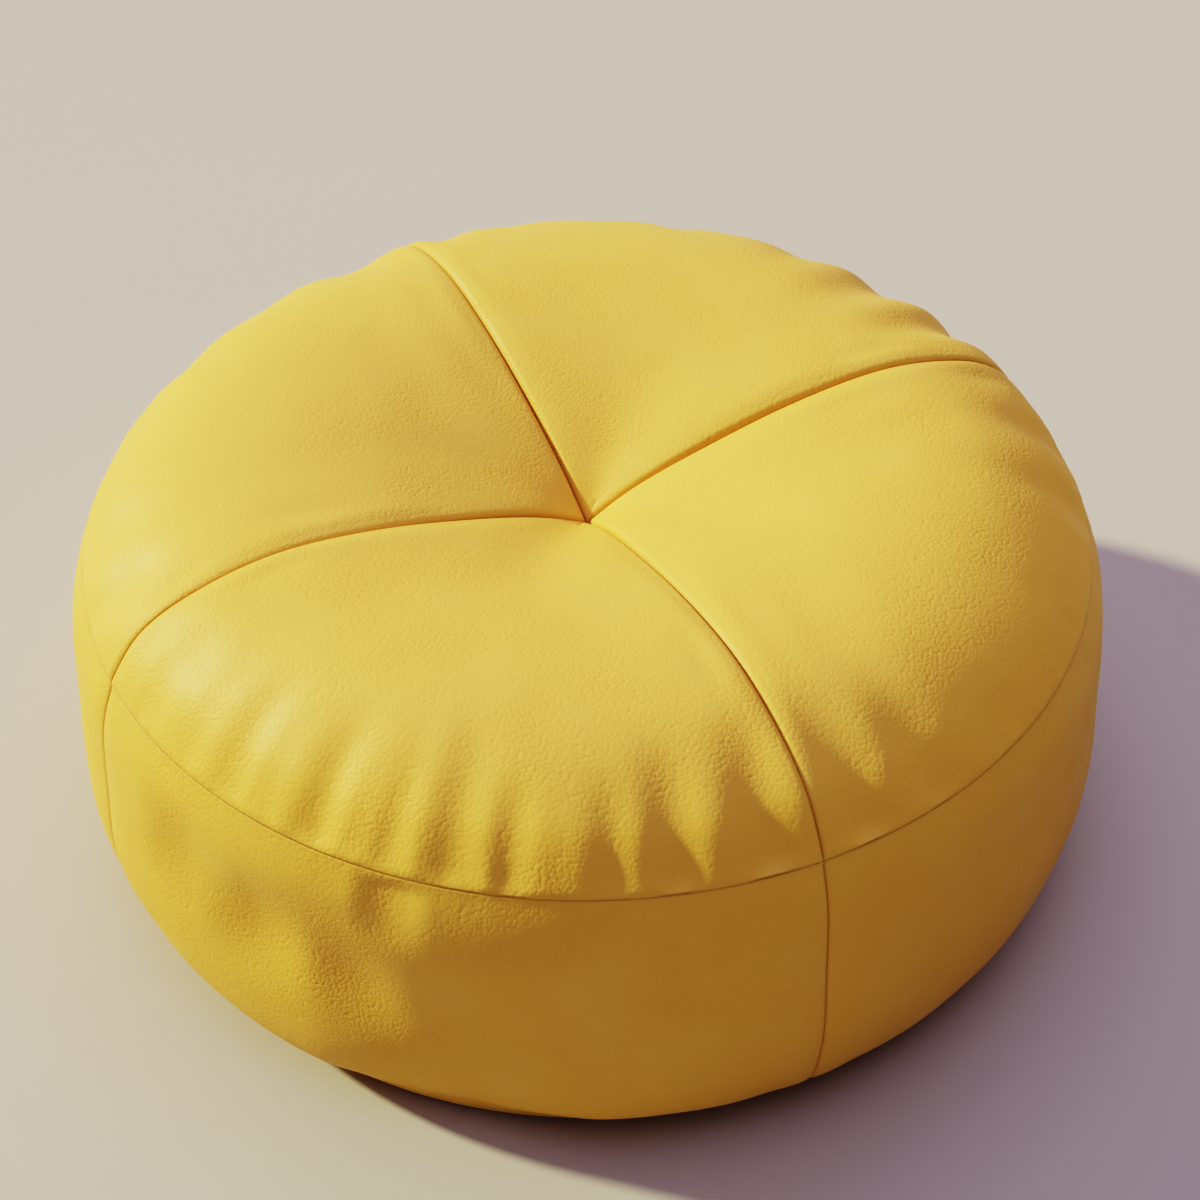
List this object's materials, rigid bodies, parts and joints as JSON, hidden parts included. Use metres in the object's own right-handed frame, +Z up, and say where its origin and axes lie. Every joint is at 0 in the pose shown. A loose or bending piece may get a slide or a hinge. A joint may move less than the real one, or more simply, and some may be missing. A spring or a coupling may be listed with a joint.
{
  "type": "round floor cushion",
  "caption": "Low round floor cushion in smooth leather with wedge-shaped top panels drawn down to the centre, upright band panels and a flat base.",
  "frame": {"origin": "centre of the underside, on the floor", "axes": "+Z up, +X to the right and -Y to the front of the cushion, so that the front panel faces between -X and -Y"},
  "size_m": [0.6002, 0.6001, 0.2459],
  "materials": {
    "leather": "smooth yellow leather with a fine pebble grain and a satin sheen"
  },
  "bodies": {
    "root": {"top_panel_back": "leather", "top_panel_left": "leather", "top_panel_front": "leather", "top_panel_right": "leather", "band_panel_back": "leather", "band_panel_left": "leather", "band_panel_front": "leather", "band_panel_right": "leather", "base_panel": "leather"}
  },
  "joints": []
}
